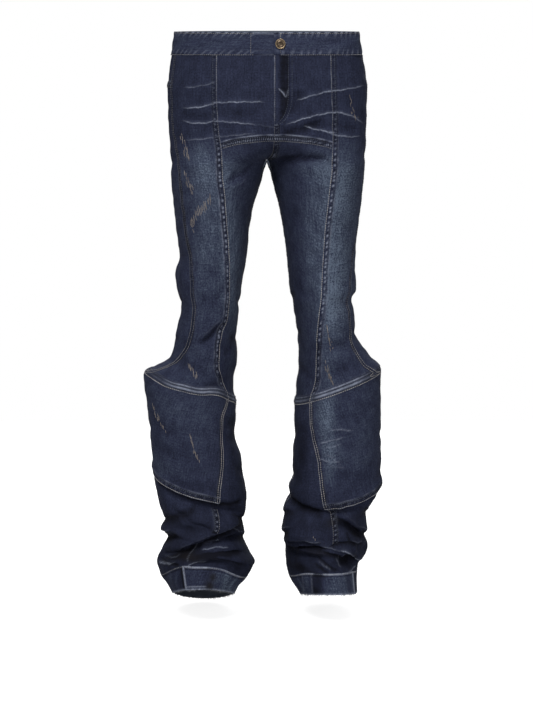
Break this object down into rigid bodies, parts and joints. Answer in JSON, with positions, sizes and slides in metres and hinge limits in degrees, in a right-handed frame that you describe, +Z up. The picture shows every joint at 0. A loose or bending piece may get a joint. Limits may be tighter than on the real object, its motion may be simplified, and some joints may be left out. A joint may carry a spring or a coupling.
{
  "type": "flared jeans held at the waist, with boxed knee panels",
  "caption": "Denim jeans in worn form: waistband, hips, long seamed legs, boxed knee panels and stacked flared hems.",
  "frame": {"origin": "centre of the waist at the level of the waistband's top edge, where the wearer holds the jeans up", "axes": "+Z up along the wearer, front faces -Y, +X towards the wearer's left leg"},
  "size_m": [0.4083, 0.2446, 0.998],
  "materials": {
    "denim": "dark indigo twill, washed",
    "denim_faded": "indigo twill, faded and rubbed",
    "button_metal": "antiqued"
  },
  "bodies": {
    "root": {"waistband": "denim", "waist_button": "button_metal", "front_hip_right": "denim", "front_hip_left": "denim", "front_thigh_inner_right": "denim_faded", "front_thigh_inner_left": "denim_faded", "front_thigh_outer_right": "denim_faded", "front_thigh_outer_left": "denim_faded", "back_yoke_right": "denim", "back_yoke_left": "denim", "back_thigh_right": "denim", "back_thigh_left": "denim", "knee_panel_right": "denim_faded", "knee_panel_left": "denim_faded", "front_lower_inner_right": "denim", "front_lower_inner_left": "denim", "front_lower_outer_right": "denim", "front_lower_outer_left": "denim", "back_lower_right": "denim", "back_lower_left": "denim", "hem_band_right": "denim_faded", "hem_band_left": "denim_faded"}
  },
  "joints": []
}
